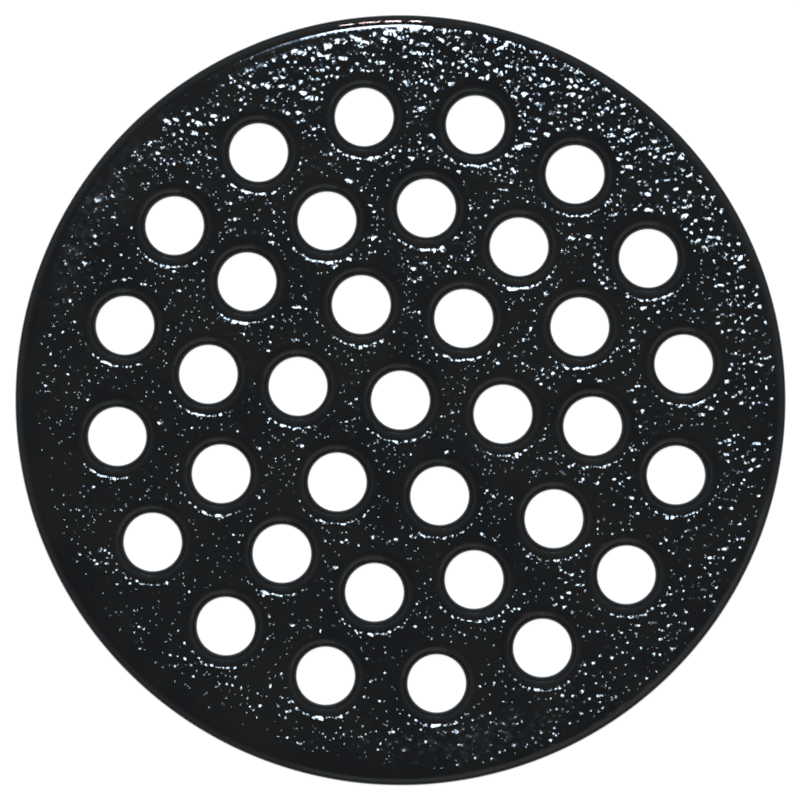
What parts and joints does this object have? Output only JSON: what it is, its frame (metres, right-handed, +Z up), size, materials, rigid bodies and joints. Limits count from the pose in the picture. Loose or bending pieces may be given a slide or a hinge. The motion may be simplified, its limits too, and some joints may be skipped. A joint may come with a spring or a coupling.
{
  "type": "floor drain grate",
  "caption": "Round flat drain grate, one cast iron plate with a rounded rim and rings of round openings with softened lips, glossy black coating.",
  "frame": {"origin": "centre of the plate's underside", "axes": "+Z up out of the walking face; +X from the centre through the opening that every ring has on that side"},
  "size_m": [0.2032, 0.2032, 0.0079],
  "materials": {
    "coated_iron": "glossy black baked coating over a sand cast surface"
  },
  "bodies": {
    "root": {"grate_plate": "coated_iron"}
  },
  "joints": []
}
